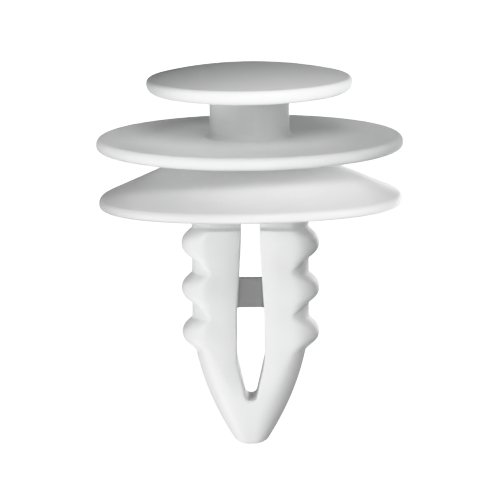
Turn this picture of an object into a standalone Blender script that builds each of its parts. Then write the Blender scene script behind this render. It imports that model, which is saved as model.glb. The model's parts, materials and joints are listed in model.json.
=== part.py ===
"""Push-in trim-panel retainer clip in white nylon, as one Blender model.

From the top: a domed head button, a short neck, a flat round flange, a hollow umbrella skirt with a
flat sealing rim, and a split stem of two barbed legs that join again in a blunt nose. A thin web
crosses the slot between the legs. The legs bow outward and squeeze together as the stem enters its hole.

The nose tip stands on the origin and the stem runs up +Z. The slot faces +Y and -Y, the barbs +X and -X.
"""

import math

import bmesh
import bpy
from mathutils import Matrix, Vector

MM = 0.001
CLEARANCE = 0.03 * MM
MERGE_DISTANCE = 1e-7
SHARP_ANGLE = math.radians(35)

# Fineness of the curved shapes, as steps
ROUND_STEPS = 48
EDGE_ARC_STEPS = 3
FILLET_ARC_STEPS = 4
OUTER_EDGE_STEPS = 6
BARB_STEPS = 8
KNUCKLE_STEPS = 5
SOCKET_STEPS = 32
TAPER_STEPS = 4
TIP_STEPS = 3

# Head button, neck and flange, from the top down
HEAD_TOP_Z = 24.90 * MM
HEAD_BOTTOM_Z = 23.21 * MM
HEAD_RADIUS = 6.71 * MM
HEAD_CROWN_RADIUS = 6.48 * MM
HEAD_CROWN_HEIGHT = 0.74 * MM
HEAD_CROWN_POWER = 2.68
HEAD_CROWN_SHARES = (1.0, 0.9, 0.75, 0.55, 0.3, 0.0)
HEAD_SHOULDER_DROP = 0.23 * MM
HEAD_LOWER_ROUND = 0.30 * MM
HEAD_STUB_HEIGHT = 0.30 * MM
NECK_RADIUS = 2.60 * MM
NECK_FILLET = 0.40 * MM
FLANGE_RADIUS = 10.00 * MM
FLANGE_TOP_Z = 20.31 * MM
FLANGE_BOTTOM_Z = 19.50 * MM
FLANGE_EDGE_ROUND = 0.20 * MM

# Umbrella skirt: a cone of even thickness that ends in a rim with a flat sealing ring
SKIRT_RIM_RADIUS = 9.88 * MM
SKIRT_RIM_BOTTOM_Z = 15.90 * MM
SKIRT_RIM_TOP_Z = 16.50 * MM
SKIRT_SLOPE = math.tan(math.radians(23.3))
SKIRT_THICKNESS_Z = 0.71 * MM
SKIRT_SEAT_OUTER_RADIUS = 9.63 * MM
SKIRT_SEAT_INNER_RADIUS = 9.25 * MM
LIP_INNER_RADIUS = 9.00 * MM

# Stem outline across the barbs, as half widths in X
STEM_NECK_HALF = 3.82 * MM
BARB_CREST_HALF = 4.50 * MM
BARB_RADIUS = 1.05 * MM
BARB_TOP_Z = 13.30 * MM
BARB_PITCH = 2.94 * MM
BARB_COUNT = 3
FRONT_FLAT_HALF = 2.60 * MM
FRONT_FLAT_SHARE = 0.68
LEAST_EDGE_SHARE = 0.12
STEM_HALF_DEPTH = 2.00 * MM

# Shallow step that thins the front and back of the stem above the top barb
COLLAR_TOP_Z = 14.52 * MM
COLLAR_RISE = 0.24 * MM
COLLAR_STEP = 0.26 * MM

# Taper from below the lowest barb to the nose tip
TAPER_TOP_Z = 6.20 * MM
TAPER_TOP_HALF = 3.57 * MM
TAPER_SLOPE = 0.205
TAPER_BOW = 0.0365 / MM
DEPTH_TAPER_BOW = 0.026 / MM
TIP_ROUND = 0.60 * MM
TIP_DEPTH_SHARE = 0.5

# Slot between the legs, as half widths in X
SLOT_TOP_HALF = 0.60 * MM
SLOT_BOTTOM_HALF = 0.89 * MM
SLOT_TOP_Z = 13.40 * MM
SLOT_WIDE_Z = 8.80 * MM
SLOT_CLOSE_Z = 5.90 * MM
SLOT_FLOOR_Z = 3.05 * MM

# Flexures, as the X and Z of each axis on the right leg, and the radius of its knuckle
ROOT_X = 2.20 * MM
ROOT_Z = 16.90 * MM
ROOT_KNUCKLE = 1.57 * MM
KNEE_X = 2.23 * MM
KNEE_Z = 6.30 * MM
KNEE_KNUCKLE = 1.32 * MM
FOOT_X = 1.36 * MM
FOOT_Z = 3.20 * MM
FOOT_KNUCKLE = 1.22 * MM
KNUCKLE_REACH = math.radians(75)
SOCKET_CUTTER_LENGTH = 6.0 * MM

# Heights at which the legs' straight parts end, beside or inside the sockets
SHANK_TOP_Z = 15.30 * MM
LOWER_LEG_TOP_Z = 5.64 * MM
NOSE_TOP_Z = 2.70 * MM

# Solid column between the flange and the two leg roots
HUB_BOTTOM_Z = 17.70 * MM
HUB_BAR_TOP_Z = 18.20 * MM
HUB_ROUND_Z = 18.42 * MM
HUB_HALF = 3.79 * MM

# Web across the slot, at mid depth
WEB_TOP_Z = 11.03 * MM
WEB_BOTTOM_Z = 8.97 * MM
WEB_HALF_DEPTH = 0.40 * MM

NYLON_WHITE = (0.86, 0.87, 0.86, 1.0)
DISC_ROUGHNESS = 0.36
SATIN_ROUGHNESS = 0.38
WEB_ROUGHNESS = 0.45


def clear_scene():
    for item in list(bpy.data.objects):
        bpy.data.objects.remove(item)


def nylon(name, roughness):
    """White injection-moulded nylon, named for the sub-part that it finishes."""
    material = bpy.data.materials.new(name + "_nylon")
    material.use_nodes = True
    shader = material.node_tree.nodes["Principled BSDF"]
    shader.inputs["Base Color"].default_value = NYLON_WHITE
    shader.inputs["Roughness"].default_value = roughness
    shader.inputs["Metallic"].default_value = 0.0
    return material


def make_object(name, bm, origin=(0.0, 0.0, 0.0), roughness=SATIN_ROUGHNESS):
    """An object from a bmesh drawn in world space, with the object's own origin at the given point."""
    origin = Vector(origin)
    bmesh.ops.recalc_face_normals(bm, faces=bm.faces)
    bm.transform(Matrix.Translation(-origin))
    mesh = bpy.data.meshes.new(name)
    bm.to_mesh(mesh)
    bm.free()
    mesh.shade_smooth()
    mesh.set_sharp_from_angle(angle=SHARP_ANGLE)
    item = bpy.data.objects.new(name, mesh)
    item.location = origin
    item.data.materials.append(nylon(name, roughness))
    bpy.context.scene.collection.objects.link(item)
    return item


def arc(centre_r, centre_z, radius, start, end, steps):
    """Points (r, z) on an arc, from one angle to the other in degrees, both ends included."""
    points = []
    for step in range(steps + 1):
        angle = math.radians(start + (end - start) * step / steps)
        points.append((centre_r + radius * math.cos(angle), centre_z + radius * math.sin(angle)))
    return points


def turned(profile, closed):
    """A solid of revolution about Z from (r, z) points; an open profile starts and ends on the axis."""
    bm = bmesh.new()
    verts = [bm.verts.new((r, 0.0, z)) for r, z in profile]
    edges = [bm.edges.new(pair) for pair in zip(verts, verts[1:])]
    if closed:
        edges.append(bm.edges.new((verts[-1], verts[0])))
    bmesh.ops.spin(
        bm,
        geom=verts + edges,
        cent=(0.0, 0.0, 0.0),
        axis=(0.0, 0.0, 1.0),
        angle=math.tau,
        steps=ROUND_STEPS,
        use_merge=True,
    )
    bmesh.ops.remove_doubles(bm, verts=bm.verts, dist=MERGE_DISTANCE)
    return bm


def lofted(sections):
    """A solid through a stack of outlines that all have the same number of points, with flat ends."""
    bm = bmesh.new()
    rings = [[bm.verts.new(point) for point in section] for section in sections]
    for lower, upper in zip(rings, rings[1:]):
        for index in range(len(lower)):
            following = (index + 1) % len(lower)
            bm.faces.new((lower[index], lower[following], upper[following], upper[index]))
    bm.faces.new(rings[0])
    bm.faces.new(rings[-1])
    return bm


def cut_knuckle(item, x, z, radius):
    """Cut a cylindrical socket, whose axis runs along Y, into the item."""
    bm = bmesh.new()
    turn = Matrix.Translation((x, 0.0, z)) @ Matrix.Rotation(math.pi / 2, 4, "X")
    bmesh.ops.create_cone(
        bm,
        cap_ends=True,
        segments=SOCKET_STEPS,
        radius1=radius,
        radius2=radius,
        depth=SOCKET_CUTTER_LENGTH,
        matrix=turn,
    )
    cutter = make_object(item.name + "_socket_cutter", bm)
    cutter.hide_render = True
    cutter.display_type = "WIRE"
    cut = item.modifiers.new("socket", "BOOLEAN")
    cut.operation = "DIFFERENCE"
    cut.solver = "EXACT"
    cut.object = cutter


def skirt_top(radius):
    """Height of the skirt's outer face at a radius."""
    return SKIRT_RIM_TOP_Z + (SKIRT_RIM_RADIUS - radius) * SKIRT_SLOPE


def skirt_bottom(radius):
    """Height of the skirt's hollow inner face at a radius."""
    return skirt_top(radius) - SKIRT_THICKNESS_Z


def stem_half_width(z):
    """Half width of the stem at a height: necks and barbs above, the bowed taper and round tip below."""
    if z < TIP_ROUND:
        drop = TIP_ROUND - z
        return stem_half_width(TIP_ROUND) - TIP_ROUND + math.sqrt(TIP_ROUND**2 - drop**2)
    if z < TAPER_TOP_Z:
        drop = TAPER_TOP_Z - z
        return TAPER_TOP_HALF - TAPER_SLOPE * drop - TAPER_BOW * drop**2
    width = STEM_NECK_HALF
    if z < BARB_TOP_Z - BARB_PITCH * (BARB_COUNT - 1):
        width = TAPER_TOP_HALF
    for index in range(BARB_COUNT):
        rise = z - (BARB_TOP_Z - index * BARB_PITCH)
        if abs(rise) < BARB_RADIUS:
            bead = BARB_CREST_HALF - BARB_RADIUS + math.sqrt(BARB_RADIUS**2 - rise**2)
            width = max(width, bead)
    return width


def stem_half_depth(z):
    """Half depth of the stem at a height: thinned above the collar, and drawn in towards the tip."""
    drop = max(0.0, TAPER_TOP_Z - z)
    depth = STEM_HALF_DEPTH - DEPTH_TAPER_BOW * drop**2
    if z < TIP_ROUND:
        depth -= TIP_DEPTH_SHARE * (stem_half_width(TIP_ROUND) - stem_half_width(z))
    if z >= COLLAR_TOP_Z:
        depth -= COLLAR_STEP
    return depth


def slot_half_width(z):
    """Half width of the slot at a height: narrow at the top, widest by the lowest barb, closing below."""
    if z >= SLOT_TOP_Z:
        return SLOT_TOP_HALF
    if z >= SLOT_WIDE_Z:
        share = (SLOT_TOP_Z - z) / (SLOT_TOP_Z - SLOT_WIDE_Z)
        return SLOT_TOP_HALF + share * (SLOT_BOTTOM_HALF - SLOT_TOP_HALF)
    if z >= SLOT_CLOSE_Z:
        return SLOT_BOTTOM_HALF
    share = (z - SLOT_FLOOR_Z) / (SLOT_CLOSE_Z - SLOT_FLOOR_Z)
    return SLOT_BOTTOM_HALF * max(0.0, share)


def outer_edge(inner, outer, depth, z, sign=1.0):
    """The stem's rounded outer edge at a height, from its front face to its back face."""
    flat = min(FRONT_FLAT_HALF, FRONT_FLAT_SHARE * stem_half_width(z))
    room = LEAST_EDGE_SHARE * (outer - inner)
    flat = min(max(flat, inner + room), outer - room)
    points = []
    for step in range(OUTER_EDGE_STEPS + 1):
        angle = -math.pi / 2 + math.pi * step / OUTER_EDGE_STEPS
        x = flat + (outer - flat) * math.cos(angle)
        points.append((sign * x, depth * math.sin(angle), z))
    return points


def leg_section(z, inner, outer):
    """Outline of the right leg at a height: flat slot face, flat front and back, rounded outer edge."""
    depth = stem_half_depth(z)
    return outer_edge(inner, outer, depth, z) + [(inner, depth, z), (inner, -depth, z)]


def bar_section(z, half_width, depth):
    """Outline of the whole stem at a height, rounded at both outer edges."""
    right = outer_edge(0.0, half_width, depth, z)
    left = outer_edge(0.0, half_width, depth, z, sign=-1.0)
    return right + left[::-1]


def round_section(z, radius):
    """A circle with as many points as a bar section."""
    count = len(bar_section(z, radius, radius))
    angles = [-math.pi / 2 + math.tau * (index + 0.5) / count for index in range(count)]
    return [(radius * math.cos(angle), radius * math.sin(angle), z) for angle in angles]


def knuckle_heights(z, radius, direction):
    """Heights from a knuckle's axis out to its end, close together where its circle turns over."""
    angles = [KNUCKLE_REACH * step / KNUCKLE_STEPS for step in range(KNUCKLE_STEPS + 1)]
    return [z + direction * radius * math.sin(angle) for angle in angles]


def barb_heights():
    """Heights that follow each barb's round outline, from the lowest barb up."""
    heights = []
    reach = math.acos((STEM_NECK_HALF - BARB_CREST_HALF + BARB_RADIUS) / BARB_RADIUS)
    for index in reversed(range(BARB_COUNT)):
        crest_z = BARB_TOP_Z - index * BARB_PITCH
        for step in range(BARB_STEPS + 1):
            angle = reach * (2 * step / BARB_STEPS - 1)
            heights.append(crest_z + BARB_RADIUS * math.sin(angle))
    return heights


def leg_outline(z, axis_x, axis_z, radius):
    """Inner and outer X of the right leg at a height; past a knuckle's axis its circle trims the leg."""
    reach = math.sqrt(max(0.0, radius**2 - (z - axis_z) ** 2))
    inner = max(slot_half_width(z), axis_x - reach)
    outer = min(stem_half_width(z), axis_x + reach)
    return inner, outer


def upper_leg():
    """The barbed part of the right leg, from the hub's socket down to the knee."""
    sections = []
    for z in reversed(knuckle_heights(KNEE_Z, KNEE_KNUCKLE, -1)):
        sections.append(leg_section(z, *leg_outline(z, KNEE_X, KNEE_Z, KNEE_KNUCKLE)))
    for z in barb_heights() + [COLLAR_TOP_Z - COLLAR_RISE, COLLAR_TOP_Z, SHANK_TOP_Z]:
        sections.append(leg_section(z, slot_half_width(z), stem_half_width(z)))
    for z in knuckle_heights(ROOT_Z, ROOT_KNUCKLE, 1):
        sections.append(leg_section(z, *leg_outline(z, ROOT_X, ROOT_Z, ROOT_KNUCKLE)))
    return lofted(sections)


def lower_leg():
    """The smooth tapering part of the right leg, from the knee down to the nose's socket."""
    sections = []
    for z in reversed(knuckle_heights(FOOT_Z, FOOT_KNUCKLE, -1)):
        sections.append(leg_section(z, *leg_outline(z, FOOT_X, FOOT_Z, FOOT_KNUCKLE)))
    for step in range(1, TAPER_STEPS + 1):
        z = FOOT_Z + (LOWER_LEG_TOP_Z - FOOT_Z) * step / TAPER_STEPS
        sections.append(leg_section(z, slot_half_width(z), stem_half_width(z)))
    return lofted(sections)


def mirrored(bm):
    """The same solid on the other side of the slot."""
    bm.transform(Matrix.Scale(-1.0, 4, (1.0, 0.0, 0.0)))
    return bm


def head_disc():
    """The domed head with a stub of the neck, so that its flat underside is a ring."""
    low_r = HEAD_RADIUS - HEAD_LOWER_ROUND
    crown_z = HEAD_TOP_Z - HEAD_CROWN_HEIGHT
    stub_z = HEAD_BOTTOM_Z - HEAD_STUB_HEIGHT
    profile = [(0.0, stub_z), (NECK_RADIUS, stub_z), (NECK_RADIUS, HEAD_BOTTOM_Z)]
    profile += arc(low_r, HEAD_BOTTOM_Z + HEAD_LOWER_ROUND, HEAD_LOWER_ROUND, -90, 0, EDGE_ARC_STEPS)
    profile.append((HEAD_RADIUS, crown_z - HEAD_SHOULDER_DROP))
    for share in HEAD_CROWN_SHARES:
        rise = HEAD_CROWN_HEIGHT * (1.0 - share**HEAD_CROWN_POWER)
        profile.append((HEAD_CROWN_RADIUS * share, crown_z + rise))
    return make_object("head_disc", turned(profile, closed=False), roughness=DISC_ROUGHNESS)


def head_neck():
    foot_z = FLANGE_TOP_Z + NECK_FILLET + CLEARANCE
    top_z = HEAD_BOTTOM_Z - HEAD_STUB_HEIGHT - CLEARANCE
    profile = [(0.0, foot_z), (NECK_RADIUS, foot_z), (NECK_RADIUS, top_z), (0.0, top_z)]
    return make_object("head_neck", turned(profile, closed=False))


def flange_disc():
    """The flange with the filleted foot of the neck, so that its flat top is a ring."""
    edge_r = FLANGE_RADIUS - FLANGE_EDGE_ROUND
    low_z = FLANGE_BOTTOM_Z + FLANGE_EDGE_ROUND
    high_z = FLANGE_TOP_Z - FLANGE_EDGE_ROUND
    fillet_r = NECK_RADIUS + NECK_FILLET
    profile = [(0.0, FLANGE_BOTTOM_Z)]
    profile += arc(edge_r, low_z, FLANGE_EDGE_ROUND, -90, 0, EDGE_ARC_STEPS)
    profile += arc(edge_r, high_z, FLANGE_EDGE_ROUND, 0, 90, EDGE_ARC_STEPS)
    profile += arc(fillet_r, FLANGE_TOP_Z + NECK_FILLET, NECK_FILLET, 270, 180, FILLET_ARC_STEPS)
    profile.append((0.0, FLANGE_TOP_Z + NECK_FILLET))
    return make_object("flange_disc", turned(profile, closed=False), roughness=DISC_ROUGHNESS)


def stem_hub():
    top_z = FLANGE_BOTTOM_Z - CLEARANCE
    meet_z = skirt_top(HUB_HALF)
    top_radius = HUB_HALF - (top_z - meet_z) / SKIRT_SLOPE
    sections = [
        bar_section(HUB_BOTTOM_Z, HUB_HALF, STEM_HALF_DEPTH),
        bar_section(HUB_BAR_TOP_Z, HUB_HALF, STEM_HALF_DEPTH),
        round_section(HUB_ROUND_Z, HUB_HALF),
        round_section(meet_z, HUB_HALF),
        round_section(top_z, top_radius),
    ]
    hub = make_object("stem_hub", lofted(sections))
    for side in (-1, 1):
        cut_knuckle(hub, side * ROOT_X, ROOT_Z, ROOT_KNUCKLE + CLEARANCE)
    return hub


def skirt_web():
    inner_r = HUB_HALF + CLEARANCE
    outer_r = LIP_INNER_RADIUS - CLEARANCE
    profile = [
        (outer_r, skirt_top(outer_r)),
        (outer_r, skirt_bottom(outer_r)),
        (inner_r, skirt_bottom(inner_r)),
        (inner_r, skirt_top(inner_r)),
    ]
    return make_object("skirt_web", turned(profile, closed=True))


def skirt_lip():
    round_r = SKIRT_RIM_RADIUS - SKIRT_SEAT_OUTER_RADIUS
    profile = [(LIP_INNER_RADIUS, skirt_top(LIP_INNER_RADIUS)), (SKIRT_RIM_RADIUS, SKIRT_RIM_TOP_Z)]
    profile += arc(
        SKIRT_SEAT_OUTER_RADIUS,
        SKIRT_RIM_BOTTOM_Z + round_r,
        round_r,
        0,
        -90,
        EDGE_ARC_STEPS,
    )
    profile.append((SKIRT_SEAT_INNER_RADIUS, SKIRT_RIM_BOTTOM_Z))
    profile.append((LIP_INNER_RADIUS, skirt_bottom(LIP_INNER_RADIUS)))
    return make_object("skirt_lip", turned(profile, closed=True), (0.0, 0.0, SKIRT_RIM_BOTTOM_Z))


def nose_half():
    """The right half of the blunt nose that joins the two legs below the slot."""
    heights = []
    for step in range(TIP_STEPS + 1):
        angle = math.pi / 2 * step / TIP_STEPS
        heights.append(TIP_ROUND * (1 - math.cos(angle)))
    for step in range(1, TAPER_STEPS + 1):
        heights.append(TIP_ROUND + (NOSE_TOP_Z - TIP_ROUND) * step / TAPER_STEPS)
    return lofted([leg_section(z, CLEARANCE / 2, stem_half_width(z)) for z in heights])


def legs_and_nose():
    """Both legs and the nose; each piece's origin sits on the flexure that joins it to the piece above."""
    made = {}
    for name, side in (("left", -1), ("right", 1)):
        root = (side * ROOT_X, 0.0, ROOT_Z)
        knee = (side * KNEE_X, 0.0, KNEE_Z)
        foot = (side * FOOT_X, 0.0, FOOT_Z)
        shapes = (upper_leg(), lower_leg(), nose_half())
        if side < 0:
            shapes = [mirrored(shape) for shape in shapes]
        upper = make_object(name + "_upper_leg", shapes[0], root)
        lower = make_object(name + "_lower_leg", shapes[1], knee)
        nose = make_object("nose_" + name + "_half", shapes[2], foot)
        cut_knuckle(lower, knee[0], KNEE_Z, KNEE_KNUCKLE + CLEARANCE)
        cut_knuckle(nose, foot[0], FOOT_Z, FOOT_KNUCKLE + CLEARANCE)
        made[name] = (upper, lower, nose)
    return made


def cross_web():
    """The thin web across the slot, which buckles as the legs close."""
    sections = []
    for z in (WEB_BOTTOM_Z, WEB_TOP_Z):
        half = slot_half_width(z) - CLEARANCE
        front = [(-half, -WEB_HALF_DEPTH, z), (half, -WEB_HALF_DEPTH, z)]
        back = [(half, WEB_HALF_DEPTH, z), (-half, WEB_HALF_DEPTH, z)]
        sections.append(front + back)
    return make_object("cross_web", lofted(sections), (0.0, 0.0, WEB_BOTTOM_Z), roughness=WEB_ROUGHNESS)


def parent_to(child, parent):
    """Hang one object from another without moving it."""
    child.parent = parent
    child.matrix_parent_inverse = parent.matrix_world.inverted()


def main():
    clear_scene()
    flange = flange_disc()
    fixed = [head_disc(), head_neck(), stem_hub(), skirt_web(), skirt_lip(), cross_web()]
    chains = legs_and_nose()
    bpy.context.view_layer.update()
    for item in fixed:
        parent_to(item, flange)
    for upper, lower, nose in chains.values():
        parent_to(upper, flange)
        parent_to(lower, upper)
        parent_to(nose, lower)


main()
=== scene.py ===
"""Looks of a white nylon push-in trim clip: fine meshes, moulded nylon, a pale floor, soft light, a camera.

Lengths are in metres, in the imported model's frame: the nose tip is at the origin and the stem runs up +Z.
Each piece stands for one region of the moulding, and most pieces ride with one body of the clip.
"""

import json
import math

import bmesh
import bpy
import numpy as np
from mathutils import Matrix, Vector


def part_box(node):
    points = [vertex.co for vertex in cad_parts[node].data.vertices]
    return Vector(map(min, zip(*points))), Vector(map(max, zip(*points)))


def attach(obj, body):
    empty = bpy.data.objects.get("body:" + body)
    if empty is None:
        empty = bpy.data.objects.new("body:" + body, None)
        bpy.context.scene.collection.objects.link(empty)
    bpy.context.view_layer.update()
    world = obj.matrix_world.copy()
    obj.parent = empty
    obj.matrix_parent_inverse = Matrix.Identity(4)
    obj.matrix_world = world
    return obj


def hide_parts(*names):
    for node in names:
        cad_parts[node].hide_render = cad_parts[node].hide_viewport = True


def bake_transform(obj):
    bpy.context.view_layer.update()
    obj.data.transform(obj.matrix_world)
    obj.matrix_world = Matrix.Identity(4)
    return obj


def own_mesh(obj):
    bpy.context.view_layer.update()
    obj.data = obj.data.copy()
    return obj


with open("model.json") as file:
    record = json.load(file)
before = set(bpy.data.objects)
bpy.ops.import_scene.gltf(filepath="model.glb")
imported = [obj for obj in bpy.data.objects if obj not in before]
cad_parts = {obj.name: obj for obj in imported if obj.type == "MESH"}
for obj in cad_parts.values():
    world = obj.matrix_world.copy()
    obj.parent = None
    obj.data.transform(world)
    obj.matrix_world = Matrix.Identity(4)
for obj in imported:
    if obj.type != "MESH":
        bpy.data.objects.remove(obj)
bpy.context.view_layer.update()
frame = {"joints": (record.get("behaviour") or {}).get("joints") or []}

MM = 0.001

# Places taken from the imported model
HEAD_LOW, HEAD_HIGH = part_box("head_disc")
FLANGE_LOW, FLANGE_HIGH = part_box("flange_disc")
LIP_LOW, LIP_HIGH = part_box("skirt_lip")
WEB_LOW, WEB_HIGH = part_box("cross_web")
NECK_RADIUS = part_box("head_neck")[1].x
HUB_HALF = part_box("stem_hub")[1].x
BARB_CREST_HALF, STEM_HALF_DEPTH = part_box("right_upper_leg")[1].xy
JOINT_Z = {joint["name"]: joint["pos_m"][2] for joint in frame["joints"] if "pos_m" in joint}

# Head: a domed button on a short stub
HEAD_RADIUS = HEAD_HIGH.x
HEAD_TOP_Z = HEAD_HIGH.z
HEAD_STUB_Z = HEAD_LOW.z
HEAD_BOTTOM_Z = HEAD_STUB_Z + 0.30 * MM
HEAD_STUB_ROUND = 0.12 * MM
HEAD_ROUND_LOW = 0.60 * MM
HEAD_ROUND_HIGH = 0.33 * MM
CROWN_RADIUS = 6.48 * MM
CROWN_HEIGHT = 0.72 * MM
CROWN_EDGE_DROP = 0.07 * MM
CROWN_POWER = 2.3
CROWN_SPACING = 0.8

# Neck and flange; the CAD flange includes the neck's foot, 0.40 mm high
FLANGE_RADIUS = FLANGE_HIGH.x
FLANGE_BOTTOM_Z = FLANGE_LOW.z
FLANGE_TOP_Z = FLANGE_HIGH.z - 0.40 * MM
FLANGE_ROUND_LOW = 0.30 * MM
FLANGE_ROUND_HIGH = 0.42 * MM
NECK_FOOT_REACH = 0.60 * MM
NECK_FOOT_ROUND = 0.48 * MM
NECK_FOOT_SINK = 0.012 * MM
NECK_OVERLAP = 0.10 * MM

# Skirt: a thin cone whose sleeve grips the hub, and a rim with a flat seat under it
RIM_RADIUS = LIP_HIGH.x
RIM_BOTTOM_Z = LIP_LOW.z
RIM_TOP_Z = RIM_BOTTOM_Z + 0.60 * MM
RIM_ROUND_HIGH = 0.35 * MM
RIM_ROUND_LOW = 0.25 * MM
RIM_SAG = 0.156 * MM
SEAT_INNER_RADIUS = 9.37 * MM
SEAT_ROUND = 0.06 * MM
SKIRT_SLOPE = math.tan(math.radians(23.3))
SKIRT_THICKNESS_Z = 0.68 * MM
SKIRT_SEAM_RADIUS = 9.30 * MM
SLEEVE_INNER_RADIUS = 2.95 * MM
SLEEVE_HEIGHT = 0.35 * MM
SLEEVE_ROUND = 0.30 * MM

# How far each disc leans, in degrees, with its right side up
HEAD_LEAN = 0.43
FLANGE_LEAN = 0.32
SKIRT_LEAN = 0.68

# Stem's outer edge, as heights and half widths
ROOT_TOP_Z = 17.60 * MM
STEM_NECK_HALF = 3.82 * MM
COLLAR_Z = 14.52 * MM
COLLAR_RISE = 0.24 * MM
COLLAR_STEP = 0.30 * MM
BARB_COUNT = 3
BARB_TOP_Z = 13.30 * MM
BARB_PITCH = 2.94 * MM
BARB_CREST_ROUND = 0.85 * MM
BARB_VALLEY_ROUND = 0.12 * MM
TAPER_TOP_Z = 6.20 * MM
TAPER_TOP_HALF = 3.57 * MM
TAPER_SHOULDER_OUT = 0.02 * MM
TAPER_SHOULDER_UP = 0.06 * MM
TAPER_SHOULDER_ROUND = 0.20 * MM
TAPER_SHOULDER_DROP = 0.45 * MM
TAPER_SLOPE = 0.205
TAPER_BOW = 0.0365 / MM
TIP_START_Z = 0.44 * MM
TIP_ROUND_X = 0.90 * MM
TIP_ROUND_Y = 0.62 * MM

# Slot between the legs, as heights and half widths
SLOT_TOP_HALF = 0.60 * MM
SLOT_WIDE_HALF = 0.89 * MM
SLOT_FLOOR_HALF = 0.32 * MM
SLOT_NARROW_Z = 13.40 * MM
SLOT_WIDE_Z = 8.80 * MM
SLOT_V_TOP_Z = 5.66 * MM
SLOT_FLOOR_Z = 3.08 * MM
SLOT_FLARE_ROUND = 12.0 * MM
SLOT_V_ROUND = 0.90 * MM
SLOT_FLOOR_ROUND = 0.36 * MM
SLOT_EDGE_ROUND = 0.17 * MM

# Stem's faces; the shares of the barb pitch count down from each crest
DEPTH_TAPER = 0.0045 / MM**2
BARBED_LOW_Z = 6.00 * MM
BARBED_FULL_Z = 7.20 * MM
LEDGE_SHARES = 0.25, 0.34
LEDGE_SLANT = 0.22
FILL_SHARES = 0.46, 0.90
EDGE_START_X = 2.85 * MM
EDGE_START_SHARE = 0.68
EDGE_START_LEAST = 0.12
EDGE_NOSE_LOSS = 0.72
EDGE_POWER = 2.15
BARB_POWER_GAIN = 0.15
SCOOP_POWER_LOSS = 0.70
SCOOP_START_SHIFT = 0.20 * MM
SWELL_HEIGHT = 0.09 * MM
SWELL_X = 2.80 * MM
SWELL_WIDTH = 0.95 * MM
BOW_X = 2.00 * MM
BOW = 0.120 / MM
BOW_LOW_Z = 3.20 * MM
BOW_FULL_Z = 5.20 * MM

# Where the stem is cut into pieces, and how the tapers' ends hide inside the nose
KNEE_Z = JOINT_Z["left_knee_flex"]
KNEE_BEND_REACH = 1.10 * MM
LEG_CUT_Z = KNEE_Z - KNEE_BEND_REACH
NOSE_CUT_Z = JOINT_Z["left_nose_flex"] + 0.30 * MM
TUCK_LIFT = 0.02 * MM
TUCK_DROPS_AND_INSETS = (0.12 * MM, 0.08 * MM), (0.07 * MM, 0.045 * MM), (0.04 * MM, 0.022 * MM)

# Root block that holds the legs, in millimetres: each section's height, share of roundness and growth
ROOT_OUT_X = 0.10
ROOT_OUT_Y = 0.06
ROOT_POWER = 3.2
ROOT_SECTIONS = (
    (17.05, 0.00, -0.12),
    (17.08, 0.00, -0.04),
    (17.16, 0.00, 0.00),
    (17.90, 0.00, 0.02),
    (18.30, 0.10, 0.04),
    (18.60, 0.35, 0.06),
    (18.90, 0.80, 0.08),
    (19.10, 1.00, 0.10),
    (19.30, 1.00, 0.10),
    (19.52, 1.00, 0.10),
)

# Web across the slot
WEB_MIDDLE_Z = (WEB_LOW.z + WEB_HIGH.z) / 2
WEB_HALF_SPAN = 0.95 * MM
WEB_HALF_DEPTH = 0.36 * MM
WEB_TRIM = 0.06 * MM
WEB_ROUND = 0.10 * MM
WEB_FLARE = 0.06 * MM
WEB_FLARE_START_X = 0.62 * MM
WEB_FLARE_RUN = 0.30 * MM

# How fine the meshes are
OUTLINE_STEP = 0.25 * MM
ARC_STEP = math.radians(7.5)
SLOT_ARC_STEP = math.radians(6)
TURN_SEGMENTS = 240
CROWN_POINTS = 60
TAPER_POINTS = 30
STEM_COLUMNS = 34
STEM_ROW_STEP = 0.09 * MM
STEM_ROW_MERGE = 0.012 * MM
TIP_FLAT_SHARES = 0.0, 0.4, 0.75, 1.0
TIP_STEPS = 12
TIP_STEP_POWER = 1.8
ROOT_COLUMNS = 96
WEB_STATIONS = 41
TINY = 1e-9
HEIGHT_DECIMALS = 9
MERGE_DISTANCE = 1e-8
SHARP_ANGLE = math.radians(50)

# Nylon
NATURAL_WHITE = 0.88, 0.885, 0.885
SKIRT_WHITE = 0.885, 0.885, 0.885
# The web's grey is painted shade: a mid grey for the shade it sits in between the legs
WEB_PAINTED_SHADE_GREY = 0.42, 0.42, 0.42
CLOUD_SCALE = 260
CLOUD_DETAIL = 4
CLOUD_DARK = 0.965
CLOUD_LIGHT = 1.03
SHEEN_LESS = 0.05
SHEEN_MORE = 0.07
GRAIN_SCALE = 5200
GRAIN_DETAIL = 5
GRAIN_STRENGTH = 0.25
GRAIN_HEIGHT = 0.006 * MM
NYLON_IOR = 1.53

# Floor and wall
FLOOR_Z = -14 * MM
SWEEP_RADIUS = 1500 * MM
SWEEP_HEIGHT = 1800 * MM
SWEEP_ROUND = 600 * MM
SWEEP_STEP = 60 * MM
SWEEP_SEGMENTS = 96
PAPER_GREY = 0.20
PAPER_GLOW = 2.0
PAPER_ROUGHNESS = 0.9

# Film, room and lights
FILM_WHITE = 1.6
FILM_SHOULDER = (0.34, 0.545), (0.50, 0.765), (0.68, 0.905)
ROOM_GLOW = 0.06
ROOM_GLOW_SEEN = 2.0
LIGHT_TARGET = Vector((0, 0, 13 * MM))
LIGHT_DISTANCE = 300 * MM

# Camera: a long lens, a little above the level of the clip
CAMERA_ELEVATION = math.radians(9.398)
CAMERA_DISTANCE = 500 * MM
CAMERA_LENS_MM = 552.15
CAMERA_SENSOR_MM = 36.0
CAMERA_ROLL = math.radians(-0.354)
CAMERA_TARGET = Vector((-0.025 * MM, 0.0, 12.778 * MM))
CAMERA_REACH = 0.01, 10.0


# ---------------------------------------------------------------- outlines

def unit(vector):
    return vector / np.linalg.norm(vector)


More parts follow.
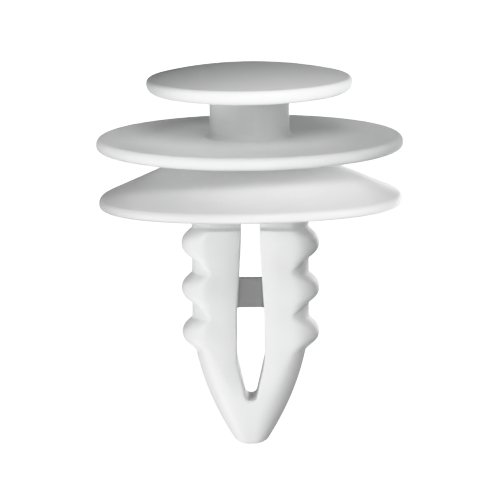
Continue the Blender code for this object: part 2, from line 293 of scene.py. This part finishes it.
def corner_arc(before, here, after, radius, arc_step):
    """Points of the arc that rounds the corner at here, between the points before and after it."""
    to_before, to_after = unit(before - here), unit(after - here)
    half = math.acos(max(-1.0, min(1.0, float(to_before @ to_after)))) / 2
    reach = radius / math.tan(half)
    centre = here + unit(to_before + to_after) * (radius / math.sin(half))
    start = here + to_before * reach - centre
    end = here + to_after * reach - centre
    sweep = math.atan2(start[0] * end[1] - start[1] * end[0], float(start @ end))
    steps = max(2, int(math.ceil(abs(sweep) / arc_step)))
    points = []
    for turn in np.linspace(0, sweep, steps + 1):
        c, s = math.cos(turn), math.sin(turn)
        points.append(centre + np.array((c * start[0] - s * start[1], s * start[0] + c * start[1])))
    return points


def rounded(corners, closed=False, step=OUTLINE_STEP, arc_step=ARC_STEP):
    """A fine outline through corners (a, b, radius), with each corner turned into an arc of its radius."""
    count = len(corners)
    places = [np.array(corner[:2]) for corner in corners]
    points = []
    for index, (here, corner) in enumerate(zip(places, corners)):
        radius = corner[2]
        if radius <= 0 or (not closed and index in (0, count - 1)):
            points.append(here)
        else:
            points += corner_arc(places[index - 1], here, places[(index + 1) % count], radius, arc_step)
    if closed:
        points.append(points[0])
    fine = [points[0]]
    for here, there in zip(points, points[1:]):
        parts = max(1, int(math.ceil(np.linalg.norm(there - here) / step)))
        for part in range(1, parts + 1):
            fine.append(here + (there - here) * part / parts)
    return np.array(fine[:-1] if closed else fine)


# ---------------------------------------------------------------- meshes

def piece(name, points, faces, material):
    """A smooth mesh object whose sharp edges are only its real corners and its hidden joints."""
    bm = bmesh.new()
    verts = [bm.verts.new(point) for point in points]
    for face in faces:
        corners = []
        for index in face:
            if verts[index] not in corners:
                corners.append(verts[index])
        if len(corners) > 2:
            bm.faces.new(corners)
    bmesh.ops.remove_doubles(bm, verts=bm.verts, dist=MERGE_DISTANCE)
    bmesh.ops.recalc_face_normals(bm, faces=bm.faces)
    mesh = bpy.data.meshes.new(name)
    bm.to_mesh(mesh)
    bm.free()
    mesh.shade_smooth()
    mesh.set_sharp_from_angle(angle=SHARP_ANGLE)
    mesh.materials.append(material)
    item = bpy.data.objects.new(name, mesh)
    bpy.context.scene.collection.objects.link(item)
    return item


def ring_faces(lower, upper, count):
    """Faces between two rings of points, each ring given by the index of its first point."""
    following = [*range(1, count), 0]
    return [(lower + a, lower + b, upper + b, upper + a) for a, b in zip(range(count), following)]


def tube_faces(rows, columns):
    """Faces of a tube of rings, with both ends capped."""
    faces = []
    for row in range(rows - 1):
        faces += ring_faces(row * columns, (row + 1) * columns, columns)
    last = (rows - 1) * columns
    return faces + [tuple(range(columns)), tuple(range(last, last + columns))]


def turned(profile, closed, segments=TURN_SEGMENTS):
    """Points and faces of a turned shape from an outline of (r, z) points."""
    angles = np.arange(segments) * math.tau / segments
    r, z = profile[:, 0], profile[:, 1]
    x, y = np.outer(r, np.cos(angles)), np.outer(r, np.sin(angles))
    points = np.stack([x, y, np.repeat(z[:, None], segments, 1)], axis=2)
    rows = len(profile)
    faces = []
    for row in range(rows if closed else rows - 1):
        faces += ring_faces(row * segments, (row + 1) % rows * segments, segments)
    return points.reshape(-1, 3), faces


def leaning(points, degrees, pivot_z):
    """Points turned a little about the Y axis, right side up, about a height on the stem's axis."""
    angle = math.radians(degrees)
    x, z = points[:, 0].copy(), points[:, 2] - pivot_z
    points[:, 0] = x * math.cos(angle) - z * math.sin(angle)
    points[:, 2] = x * math.sin(angle) + z * math.cos(angle) + pivot_z
    return points


# ---------------------------------------------------------------- stem surface

def barb_corners():
    """Corners of the barbed outer edge from the hub down to the start of the taper."""
    rise = BARB_CREST_HALF + BARB_CREST_ROUND * (math.sqrt(2) - 1) - STEM_NECK_HALF
    corners = [(STEM_NECK_HALF, ROOT_TOP_Z, 0)]
    for index in range(BARB_COUNT):
        crest = BARB_TOP_Z - index * BARB_PITCH
        corners.append((STEM_NECK_HALF, crest + rise, BARB_VALLEY_ROUND))
        corners.append((STEM_NECK_HALF + rise, crest, BARB_CREST_ROUND))
        if index < BARB_COUNT - 1:
            corners.append((STEM_NECK_HALF, crest - rise, BARB_VALLEY_ROUND))
    return corners


def taper_half(z):
    """Half width of the stem's bowed taper at a height."""
    drop = TAPER_TOP_Z - z
    return TAPER_TOP_HALF - TAPER_SLOPE * drop - TAPER_BOW * drop**2


def outer_outline():
    """The stem's outer edge as (x, z), from the hub down to where the round tip begins."""
    shoulder = (TAPER_TOP_HALF + TAPER_SHOULDER_OUT, TAPER_TOP_Z + TAPER_SHOULDER_UP, TAPER_SHOULDER_ROUND)
    taper_z = np.linspace(TAPER_TOP_Z - TAPER_SHOULDER_DROP, TIP_START_Z, TAPER_POINTS)
    return rounded(barb_corners() + [shoulder] + [(taper_half(z), z, 0) for z in taper_z])


def slot_outline():
    """The slot's right wall as (x, z), from the hub down to the middle of its rounded floor."""
    corners = [
        (SLOT_TOP_HALF, ROOT_TOP_Z, 0),
        (SLOT_TOP_HALF, SLOT_NARROW_Z, SLOT_FLARE_ROUND),
        (SLOT_WIDE_HALF, SLOT_WIDE_Z, SLOT_FLARE_ROUND),
        (SLOT_WIDE_HALF, SLOT_V_TOP_Z, SLOT_V_ROUND),
        (SLOT_FLOOR_HALF, SLOT_FLOOR_Z, SLOT_FLOOR_ROUND),
        (0, SLOT_FLOOR_Z, 0),
    ]
    return rounded(corners, arc_step=SLOT_ARC_STEP)


OUTER = outer_outline()
SLOT = slot_outline()


def along(outline, z):
    """X of an outline that runs downward, at the given heights."""
    return np.interp(z, outline[::-1, 1], outline[::-1, 0])


def slot_distance(x, z):
    """Distance from each point to the slot's outline."""
    full = np.concatenate([SLOT, SLOT[::-1] * (-1, 1)])
    start, end = full[:-1], full[1:]
    run = end - start
    length = np.maximum((run**2).sum(1), TINY**2)
    px, pz = x[..., None] - start[:, 0], z[..., None] - start[:, 1]
    share = np.clip((px * run[:, 0] + pz * run[:, 1]) / length, 0, 1)
    return np.sqrt(((px - share * run[:, 0]) ** 2 + (pz - share * run[:, 1]) ** 2).min(axis=-1))


def stem_rows(low, high):
    """Heights at which the stem is meshed: both outlines' points, and more where those are far apart."""
    heights = np.concatenate([OUTER[:, 1], SLOT[:, 1], (low, high, SLOT_FLOOR_Z)])
    heights = np.unique(np.round(heights[(heights >= low) & (heights <= high)], HEIGHT_DECIMALS))
    rows = [low]
    for z in heights:
        if z - rows[-1] < STEM_ROW_MERGE and z < high:
            continue
        parts = max(1, int(math.ceil((z - rows[-1]) / STEM_ROW_STEP)))
        start = rows[-1]
        rows += [start + (z - start) * part / parts for part in range(1, parts + 1)]
    rows = np.array(rows)
    if low < SLOT_FLOOR_Z < high:
        rows[np.argmin(abs(rows - SLOT_FLOOR_Z))] = SLOT_FLOOR_Z
    return np.unique(rows)


def smooth(low, high, value):
    """0 below low, 1 above high, and an even S between them."""
    share = np.clip((value - low) / (high - low), 0, 1)
    return share * share * (3 - 2 * share)


def barb_pattern(x, z):
    """How much barb, scoop and crest there is at points (x, z), each from 0 to 1.

    A barb ends at a ledge a little under its crest, and the ledge lies lower toward the slot. Below it the
    scoop between two barbs starts at once and fills out slowly toward the next crest. The collar above the
    barbs is shaped like a scoop, and the taper below them is neither barb nor scoop.
    """
    barbed = smooth(BARBED_LOW_Z, BARBED_FULL_Z, z)
    beside_barbs = z < BARB_TOP_Z + (1 - FILL_SHARES[0]) * BARB_PITCH
    below_crest = ((BARB_TOP_Z - z) / BARB_PITCH) % 1
    ledge = below_crest - LEDGE_SLANT * np.clip((STEM_NECK_HALF - x) / MM, 0, 1)
    under_crest = (1 - smooth(*LEDGE_SHARES, ledge)) * (z < BARB_TOP_Z)
    over_crest = smooth(*FILL_SHARES, below_crest)
    barb = np.maximum(under_crest, over_crest) * barbed * beside_barbs
    scoop = (1 - barb) * barbed
    crest = (0.5 + 0.5 * np.cos(math.tau * (z - BARB_TOP_Z) / BARB_PITCH)) * barbed * beside_barbs
    return barb, scoop, crest


def half_depth(x, z, outer):
    """Half depth of the stem at points (x, z), where its outer edge is at x = outer.

    The face falls away to the outer edge, early in the scoops and late on the barbs, and swells a little at
    each crest. Toward the slot it bows back, and the slot's edge is softened. The collar is a shallow step.
    """
    drop = np.maximum(0.0, TAPER_TOP_Z - z)
    depth = STEM_HALF_DEPTH - DEPTH_TAPER * drop**3
    nose = np.clip(drop / TAPER_TOP_Z, 0, 1)
    barb, scoop, crest = barb_pattern(x, z)
    start_share = np.maximum(EDGE_START_LEAST, EDGE_START_SHARE - EDGE_NOSE_LOSS * nose)
    start = np.minimum(EDGE_START_X - SCOOP_START_SHIFT * scoop, start_share * outer)
    share = np.clip((x - start) / (outer - start), 0, 1)
    power = EDGE_POWER + BARB_POWER_GAIN * barb - SCOOP_POWER_LOSS * scoop
    edge = depth * (1 - share**power) ** (1 / power)
    swell = SWELL_HEIGHT * crest * np.exp(-(((x - SWELL_X) / SWELL_WIDTH) ** 2))
    bow = BOW * np.minimum(x - BOW_X, 0) ** 2 * smooth(BOW_LOW_Z, BOW_FULL_Z, z)
    collar = COLLAR_STEP * smooth(COLLAR_Z - COLLAR_RISE, COLLAR_Z, z)
    near = SLOT_EDGE_ROUND - np.minimum(slot_distance(x, z), SLOT_EDGE_ROUND)
    soften = SLOT_EDGE_ROUND - np.sqrt(SLOT_EDGE_ROUND**2 - near**2)
    return edge * (1 + (swell - bow - collar - soften) / depth)


def half_stem(low, high):
    """Grid of points for the stem's right half: rows upward, columns from the slot round to the slot."""
    z = stem_rows(low, high)[:, None]
    outer = along(OUTER, z)
    inner = np.where(z > SLOT_FLOOR_Z + TINY, along(SLOT, z), 0.0)
    across = (1 - np.cos(np.linspace(0, math.pi, STEM_COLUMNS))) / 2
    x = inner + (outer - inner) * across
    z = np.repeat(z, STEM_COLUMNS, 1)
    y = half_depth(x, z, outer)
    y[:, -1] = 0.0
    front = np.stack([x, -y, z], axis=2)
    back = np.stack([x, y, z], axis=2)[:, -2::-1]
    return np.concatenate([front, back], axis=1)


def tip_rows(first):
    """Rows that close the blunt tip below the first row: a flat end, then arcs that meet the taper."""
    half = first[:, 0].max(), first[:, 1].max()
    rounds = TIP_ROUND_X, TIP_ROUND_Y
    flat = [h - math.sqrt(2 * r * TIP_START_Z - TIP_START_Z**2) for h, r in zip(half, rounds)]
    rows = []
    for share in TIP_FLAT_SHARES:
        rows.append(first * np.array((share * flat[0] / half[0], share * flat[1] / half[1], 0)))
    for step in range(1, TIP_STEPS):
        z = TIP_START_Z * (step / TIP_STEPS) ** TIP_STEP_POWER
        size = [f + math.sqrt(2 * r * z - z**2) for f, r in zip(flat, rounds)]
        row = first * np.array((size[0] / half[0], size[1] / half[1], 0))
        row[:, 2] = z
        rows.append(row)
    return np.stack(rows)


def tucked(row, drop, inset):
    """A copy of a row of points, lowered and drawn in, so that a leg's end hides just inside the nose."""
    middle = (row.min(axis=0) + row.max(axis=0)) / 2
    size = (row.max(axis=0) - row.min(axis=0)) / 2
    scale = np.array((1 - inset / size[0], 1 - inset / size[1], 1.0))
    return middle + (row - middle) * scale - np.array((0, 0, drop))


def leg_mesh(grid, side):
    """Points and faces of a stretch of one leg, from the right half's grid."""
    return grid.reshape(-1, 3) * np.array((side, 1.0, 1.0)), tube_faces(*grid.shape[:2])


def taper_grid():
    """Grid of the plain taper below the knee, with its lower end tucked into the nose."""
    grid = half_stem(NOSE_CUT_Z + TUCK_LIFT, LEG_CUT_Z)
    ends = [tucked(grid[0], drop, inset) for drop, inset in TUCK_DROPS_AND_INSETS]
    return np.concatenate([np.stack(ends), grid])


def nose_mesh():
    """Both halves of the nose, joined on the middle plane below the slot's floor."""
    grid = half_stem(TIP_START_Z, NOSE_CUT_Z)
    grid = np.concatenate([tip_rows(grid[0]), grid])
    rows, columns = grid.shape[:2]
    floor_row = int(np.argmin(abs(grid[:, 0, 2] - SLOT_FLOOR_Z)))
    faces = []
    for row in range(rows - 1):
        ring = ring_faces(row * columns, (row + 1) * columns, columns)
        # Below the slot's floor the halves meet, so the last face, across the middle plane, is left out
        faces += ring if row >= floor_row else ring[:-1]
    faces.append(tuple(range((rows - 1) * columns, rows * columns)))
    right = grid.reshape(-1, 3)
    left = right * np.array((-1.0, 1.0, 1.0))
    faces += [tuple(index + len(right) for index in face) for face in faces]
    return np.concatenate([right, left]), faces


# ---------------------------------------------------------------- materials

def nylon(name, colour, roughness):
    """As-moulded nylon: faint flow clouds, a fine satin grain and a slightly uneven sheen."""
    material = bpy.data.materials.new(name)
    material.use_nodes = True
    nodes, links = material.node_tree.nodes, material.node_tree.links
    shader = nodes["Principled BSDF"]
    place = nodes.new("ShaderNodeTexCoord")
    clouds = nodes.new("ShaderNodeTexNoise")
    clouds.inputs["Scale"].default_value = CLOUD_SCALE
    clouds.inputs["Detail"].default_value = CLOUD_DETAIL
    tint = nodes.new("ShaderNodeMix")
    tint.data_type = "RGBA"
    tint.inputs["A"].default_value = (*[value * CLOUD_DARK for value in colour], 1)
    tint.inputs["B"].default_value = (*[value * CLOUD_LIGHT for value in colour], 1)
    grain = nodes.new("ShaderNodeTexNoise")
    grain.inputs["Scale"].default_value = GRAIN_SCALE
    grain.inputs["Detail"].default_value = GRAIN_DETAIL
    sheen = nodes.new("ShaderNodeMapRange")
    sheen.inputs["To Min"].default_value = roughness - SHEEN_LESS
    sheen.inputs["To Max"].default_value = roughness + SHEEN_MORE
    bump = nodes.new("ShaderNodeBump")
    bump.inputs["Strength"].default_value = GRAIN_STRENGTH
    bump.inputs["Distance"].default_value = GRAIN_HEIGHT
    links.new(place.outputs["Object"], clouds.inputs["Vector"])
    links.new(place.outputs["Object"], grain.inputs["Vector"])
    links.new(clouds.outputs["Fac"], tint.inputs["Factor"])
    links.new(tint.outputs["Result"], shader.inputs["Base Color"])
    links.new(clouds.outputs["Fac"], sheen.inputs["Value"])
    links.new(sheen.outputs["Result"], shader.inputs["Roughness"])
    links.new(grain.outputs["Fac"], bump.inputs["Height"])
    links.new(bump.outputs["Normal"], shader.inputs["Normal"])
    shader.inputs["IOR"].default_value = NYLON_IOR
    return material


# ---------------------------------------------------------------- pieces

def build_head(material):
    """The domed button: its stub on the neck, its rounded rim, and its crown, finest at its edge."""
    crown_z = HEAD_TOP_Z - CROWN_HEIGHT
    shares = np.linspace(0, 1, CROWN_POINTS) ** CROWN_SPACING
    crown = [(s * CROWN_RADIUS, crown_z + CROWN_HEIGHT * (1 - s**CROWN_POWER)) for s in shares]
    side = rounded([
        (0, HEAD_STUB_Z, 0),
        (NECK_RADIUS, HEAD_STUB_Z, 0),
        (NECK_RADIUS, HEAD_BOTTOM_Z, HEAD_STUB_ROUND),
        (HEAD_RADIUS, HEAD_BOTTOM_Z, HEAD_ROUND_LOW),
        (HEAD_RADIUS, crown_z - CROWN_EDGE_DROP, HEAD_ROUND_HIGH),
        (*crown[-1], 0),
    ])
    points, faces = turned(np.concatenate([side, crown[-2::-1]]), closed=False)
    return piece("head_button", leaning(points, HEAD_LEAN, HEAD_STUB_Z), faces, material)


def build_neck(material):
    """The neck with its filleted foot, which runs out just under the flange's top face."""
    foot_z = FLANGE_TOP_Z - NECK_FOOT_SINK
    profile = rounded([
        (0, foot_z - NECK_OVERLAP, 0),
        (NECK_RADIUS + NECK_FOOT_REACH, foot_z - NECK_OVERLAP, 0),
        (NECK_RADIUS + NECK_FOOT_REACH, foot_z, 0),
        (NECK_RADIUS, foot_z, NECK_FOOT_ROUND),
        (NECK_RADIUS, HEAD_STUB_Z + NECK_OVERLAP, 0),
        (0, HEAD_STUB_Z + NECK_OVERLAP, 0),
    ])
    points, faces = turned(profile, closed=False)
    return piece("neck", leaning(points, FLANGE_LEAN, FLANGE_BOTTOM_Z), faces, material)


def build_flange(material):
    """The flat round flange."""
    profile = rounded([
        (0, FLANGE_BOTTOM_Z, 0),
        (FLANGE_RADIUS, FLANGE_BOTTOM_Z, FLANGE_ROUND_LOW),
        (FLANGE_RADIUS, FLANGE_TOP_Z, FLANGE_ROUND_HIGH),
        (0, FLANGE_TOP_Z, 0),
    ])
    points, faces = turned(profile, closed=False)
    return piece("flange", leaning(points, FLANGE_LEAN, FLANGE_BOTTOM_Z), faces, material)


def skirt_top(radius):
    """Height of the skirt's top face at a radius."""
    return RIM_TOP_Z + (RIM_RADIUS - radius) * SKIRT_SLOPE


def warped(points):
    """The skirt as it left the mould: sagging a little at its sides, and a touch higher on the right."""
    x, y = points[:, 0], points[:, 1]
    points[:, 2] -= RIM_SAG * (x**2 - y**2) / RIM_RADIUS**2
    return leaning(points, SKIRT_LEAN, FLANGE_BOTTOM_Z)


def build_skirt_cone(material):
    """The skirt's thin cone, with a short sleeve that grips the hub."""
    under_hub_z = skirt_top(HUB_HALF) - SKIRT_THICKNESS_Z
    profile = rounded([
        (SKIRT_SEAM_RADIUS, skirt_top(SKIRT_SEAM_RADIUS), 0),
        (SKIRT_SEAM_RADIUS, skirt_top(SKIRT_SEAM_RADIUS) - SKIRT_THICKNESS_Z, 0),
        (HUB_HALF, under_hub_z, SLEEVE_ROUND),
        (HUB_HALF, under_hub_z - SLEEVE_HEIGHT, 0),
        (SLEEVE_INNER_RADIUS, under_hub_z - SLEEVE_HEIGHT, 0),
        (SLEEVE_INNER_RADIUS, skirt_top(SLEEVE_INNER_RADIUS), 0),
    ], closed=True)
    points, faces = turned(profile, closed=True)
    return piece("skirt_cone", warped(points), faces, material)


def build_skirt_rim(material):
    """The skirt's rounded rim, with the flat sealing seat under it."""
    profile = rounded([
        (SKIRT_SEAM_RADIUS, skirt_top(SKIRT_SEAM_RADIUS), 0),
        (RIM_RADIUS, RIM_TOP_Z, RIM_ROUND_HIGH),
        (RIM_RADIUS, RIM_BOTTOM_Z, RIM_ROUND_LOW),
        (SEAT_INNER_RADIUS, RIM_BOTTOM_Z, SEAT_ROUND),
        (SKIRT_SEAM_RADIUS, skirt_top(SKIRT_SEAM_RADIUS) - SKIRT_THICKNESS_Z, 0),
    ], closed=True)
    points, faces = turned(profile, closed=True)
    return piece("skirt_rim_ring", warped(points), faces, material)


def build_root_block(material):
    """The column inside the skirt: a rounded bar that holds the leg roots and turns into a round boss."""
    angles = np.arange(ROOT_COLUMNS) * math.tau / ROOT_COLUMNS
    cos, sin = np.cos(angles), np.sin(angles)
    bar_cos, bar_sin = (np.sign(part) * abs(part) ** (2 / ROOT_POWER) for part in (cos, sin))
    rows = []
    for z, roundness, growth in ROOT_SECTIONS:
        half_x = HUB_HALF + (ROOT_OUT_X + growth) * MM
        half_y = STEM_HALF_DEPTH + (ROOT_OUT_Y + growth) * MM
        x = (1 - roundness) * half_x * bar_cos + roundness * half_x * cos
        y = (1 - roundness) * half_y * bar_sin + roundness * half_x * sin
        rows.append(np.stack([x, y, np.full(ROOT_COLUMNS, z * MM)], axis=1))
    faces = tube_faces(len(rows), ROOT_COLUMNS)
    return piece("stem_root_block", np.concatenate(rows), faces, material)


def build_slot_web(material):
    """A thin flat web with softened edges that flares where it runs into each leg."""
    low, high = WEB_LOW.z + WEB_TRIM, WEB_HIGH.z - WEB_TRIM
    section = rounded([
        (-WEB_HALF_DEPTH, low, WEB_ROUND),
        (WEB_HALF_DEPTH, low, WEB_ROUND),
        (WEB_HALF_DEPTH, high, WEB_ROUND),
        (-WEB_HALF_DEPTH, high, WEB_ROUND),
    ], closed=True)
    middle = np.array((0.0, WEB_MIDDLE_Z))
    offset = section - middle
    rows = []
    for x in np.linspace(-WEB_HALF_SPAN, WEB_HALF_SPAN, WEB_STATIONS):
        flare = WEB_FLARE * np.clip((abs(x) - WEB_FLARE_START_X) / WEB_FLARE_RUN, 0, 1) ** 2
        grown = middle + offset + np.sign(offset) * flare
        rows.append(np.stack([np.full(len(section), x), grown[:, 0], grown[:, 1]], axis=1))
    faces = tube_faces(len(rows), len(section))
    return piece("slot_web", np.concatenate(rows), faces, material)


def build_leg(name, side, material):
    """One leg in two pieces: the barbed leg above the knee's bend, and the plain taper below it."""
    upper_points, upper_faces = leg_mesh(half_stem(LEG_CUT_Z, ROOT_TOP_Z), side)
    upper = piece(name + "_barbed_leg", upper_points, upper_faces, material)
    lower_points, lower_faces = leg_mesh(taper_grid(), side)
    lower = piece(name + "_leg_taper", lower_points, lower_faces, material)
    return upper, lower


def build_clip():
    """Every piece, standing for its CAD node, which it hides; most pieces ride with a body."""
    disc_nylon = nylon("disc_nylon", NATURAL_WHITE, roughness=0.48)
    skirt_nylon = nylon("skirt_nylon", SKIRT_WHITE, roughness=0.34)
    stem_nylon = nylon("stem_nylon", NATURAL_WHITE, roughness=0.40)
    # The web's nylon is darkened with painted shade, for the shade between the legs
    web_painted_shade_nylon = nylon("web_painted_shade_nylon", WEB_PAINTED_SHADE_GREY, roughness=0.50)

    for item, node in (
        (build_head(disc_nylon), "head_disc"),
        (build_neck(disc_nylon), "head_neck"),
        (build_flange(disc_nylon), "flange_disc"),
        (build_root_block(stem_nylon), "stem_hub"),
    ):
        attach(item, "clip_body")
        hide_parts(node)

    cone = build_skirt_cone(skirt_nylon)
    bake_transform(cone)
    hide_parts("skirt_web")
    rim = build_skirt_rim(skirt_nylon)
    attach(rim, "skirt_rim")
    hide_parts("skirt_lip")

    web = build_slot_web(web_painted_shade_nylon)
    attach(web, "clip_body")
    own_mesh(web)
    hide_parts("cross_web")

    for side, name in ((-1, "left"), (1, "right")):
        upper, lower = build_leg(name, side, stem_nylon)
        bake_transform(upper)
        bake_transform(lower)
        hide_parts(name + "_upper_leg")
        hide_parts(name + "_lower_leg")

    nose_points, nose_faces = nose_mesh()
    nose = piece("blunt_nose", nose_points, nose_faces, stem_nylon)
    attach(nose, "left_nose")
    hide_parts("nose_left_half", "nose_right_half")


# ---------------------------------------------------------------- stage

def one_sided_paper():
    """A pale, softly glowing paper that shows only its front and lets the view through from behind."""
    material = bpy.data.materials.new("pale_paper")
    material.use_nodes = True
    nodes, links = material.node_tree.nodes, material.node_tree.links
    shader = nodes["Principled BSDF"]
    shader.inputs["Base Color"].default_value = (PAPER_GREY, PAPER_GREY, PAPER_GREY, 1)
    shader.inputs["Roughness"].default_value = PAPER_ROUGHNESS
    shader.inputs["Emission Color"].default_value = (1, 1, 1, 1)
    shader.inputs["Emission Strength"].default_value = PAPER_GLOW
    side = nodes.new("ShaderNodeNewGeometry")
    clear = nodes.new("ShaderNodeBsdfTransparent")
    either = nodes.new("ShaderNodeMixShader")
    links.new(side.outputs["Backfacing"], either.inputs["Fac"])
    links.new(shader.outputs["BSDF"], either.inputs[1])
    links.new(clear.outputs["BSDF"], either.inputs[2])
    links.new(either.outputs["Shader"], nodes["Material Output"].inputs["Surface"])
    return material


def build_stage():
    """A pale round floor that sweeps up into a pale wall, and neither lights nor shades the clip."""
    outline = rounded([
        (0, FLOOR_Z, 0),
        (SWEEP_RADIUS, FLOOR_Z, SWEEP_ROUND),
        (SWEEP_RADIUS, SWEEP_HEIGHT, 0),
    ], step=SWEEP_STEP)
    points, faces = turned(outline, closed=False, segments=SWEEP_SEGMENTS)
    mesh = bpy.data.meshes.new("pale_sweep")
    mesh.from_pydata(points, [], [face[::-1] for face in faces])
    mesh.shade_smooth()
    mesh.materials.append(one_sided_paper())
    sweep = bpy.data.objects.new("pale_sweep", mesh)
    bpy.context.scene.collection.objects.link(sweep)
    sweep.visible_diffuse = False
    sweep.visible_glossy = False
    sweep.visible_shadow = False


def set_film():
    """A plain film response with a shoulder that keeps near-white nylon from burning out."""
    film = bpy.context.scene.view_settings
    film.view_transform = "Standard"
    film.use_curve_mapping = True
    film.curve_mapping.white_level = (FILM_WHITE, FILM_WHITE, FILM_WHITE)
    combined = film.curve_mapping.curves[3].points
    for exposure, brightness in FILM_SHOULDER:
        combined.new(exposure, brightness)
    film.curve_mapping.update()


def build_room():
    """A white room: bright where the camera sees it, and only a faint glow on the clip."""
    world = bpy.data.worlds.new("studio")
    bpy.context.scene.world = world
    world.use_nodes = True
    nodes, links = world.node_tree.nodes, world.node_tree.links
    background = nodes["Background"]
    background.inputs["Color"].default_value = (1, 1, 1, 1)
    seen = nodes.new("ShaderNodeLightPath")
    strength = nodes.new("ShaderNodeMapRange")
    strength.inputs["To Min"].default_value = ROOM_GLOW
    strength.inputs["To Max"].default_value = ROOM_GLOW_SEEN
    links.new(seen.outputs["Is Camera Ray"], strength.inputs["Value"])
    links.new(strength.outputs["Result"], background.inputs["Strength"])


def aim(item, target):
    """Points a light or a camera at a place, with its top up."""
    item.rotation_mode = "QUATERNION"
    item.rotation_quaternion = (Vector(target) - item.location).to_track_quat("-Z", "Y")


def flag(light, names, state):
    """Makes a light reach only the named pieces (INCLUDE), or every piece but them (EXCLUDE)."""
    group = bpy.data.collections.new(light.name + "_flags")
    for name in names:
        group.objects.link(bpy.data.objects[name])
    for entry in group.collection_objects:
        entry.light_linking.link_state = state
    light.light_linking.receiver_collection = group


def soft_light(name, azimuth, elevation, watts, size, only=(), without=()):
    """A round softbox; azimuth 0 is in front of the clip and 90 on its right. Flags keep it off pieces."""
    data = bpy.data.lights.new(name, "AREA")
    data.shape = "DISK"
    data.energy = watts
    data.size = size
    item = bpy.data.objects.new(name, data)
    a, e = math.radians(azimuth), math.radians(elevation)
    toward = Vector((math.sin(a) * math.cos(e), -math.cos(a) * math.cos(e), math.sin(e)))
    item.location = LIGHT_TARGET + LIGHT_DISTANCE * toward
    aim(item, LIGHT_TARGET)
    bpy.context.scene.collection.objects.link(item)
    if only:
        flag(item, only, "INCLUDE")
    if without:
        flag(item, without, "EXCLUDE")


def build_lights():
    """The softboxes, each as name, azimuth and elevation in degrees, watts, and size in metres."""
    head = ("head_button",)
    plate = ("flange", "neck")
    skirt = ("skirt_cone", "skirt_rim_ring")
    stem = ("left_barbed_leg", "right_barbed_leg", "left_leg_taper", "right_leg_taper", "blunt_nose")
    web = ("slot_web",)
    soft_light("head_key", 24, 13, 1.22, 0.20, only=head)
    soft_light("head_upper", 30, 40, 0.10, 0.18, only=head)
    soft_light("plate_key", 10, 14, 0.43, 0.20, only=("flange",))
    soft_light("plate_upper", 0, 40, 0.07, 0.20, only=plate)
    soft_light("plate_front", 0, -4, 0.13, 0.16, only=("flange",))
    soft_light("neck_front", 35, 8, 0.11, 0.16, only=("neck",))
    soft_light("skirt_key", 16, 26, 0.45, 0.07, only=skirt)
    soft_light("skirt_right", 72, 10, 0.46, 0.16, only=skirt)
    soft_light("skirt_front", 0, -15, 0.26, 0.16, only=skirt)
    soft_light("stem_front", -26, 9, 0.43, 0.07, only=stem)
    soft_light("stem_upper", 40, 40, 0.28, 0.16, only=stem)
    soft_light("stem_low_left", -72, -40, 0.42, 0.14, only=stem)
    soft_light("stem_low_front", -12, -32, 0.24, 0.16, only=stem)
    soft_light("stem_back_right", 150, 5, 0.34, 0.20, only=stem)
    soft_light("stem_right_fill", 115, -22, 0.09, 0.20, only=stem)
    soft_light("web_front", 0, 0, 0.205, 0.10, only=web)
    soft_light("upper_front", 12, 45, 0.30, 0.22, without=head + skirt + stem + web)
    soft_light("low_left", -78, -16, 0.44, 0.24, without=stem + web)
    soft_light("low_front_left", -30, -30, 0.22, 0.20, without=stem + web)
    soft_light("low_back", 165, -14, 0.50, 0.24, without=stem + web)
    soft_light("under_back", 180, -40, 0.36, 0.24, only=stem + web)
    soft_light("high_back_left", -120, 45, 0.14, 0.20, without=head + ("blunt_nose",))


def build_camera():
    """The camera, rolled a little about its own view."""
    data = bpy.data.cameras.new("camera")
    data.sensor_width = CAMERA_SENSOR_MM
    data.lens = CAMERA_LENS_MM
    data.clip_start, data.clip_end = CAMERA_REACH
    item = bpy.data.objects.new("camera", data)
    back = Vector((0.0, -math.cos(CAMERA_ELEVATION), math.sin(CAMERA_ELEVATION)))
    item.location = CAMERA_TARGET + back * CAMERA_DISTANCE
    aim(item, CAMERA_TARGET)
    bpy.context.scene.collection.objects.link(item)
    bpy.context.view_layer.update()
    item.matrix_world = item.matrix_world @ Matrix.Rotation(CAMERA_ROLL, 4, "Z")
    bpy.context.scene.camera = item


build_clip()
build_stage()
set_film()
build_room()
build_lights()
build_camera()
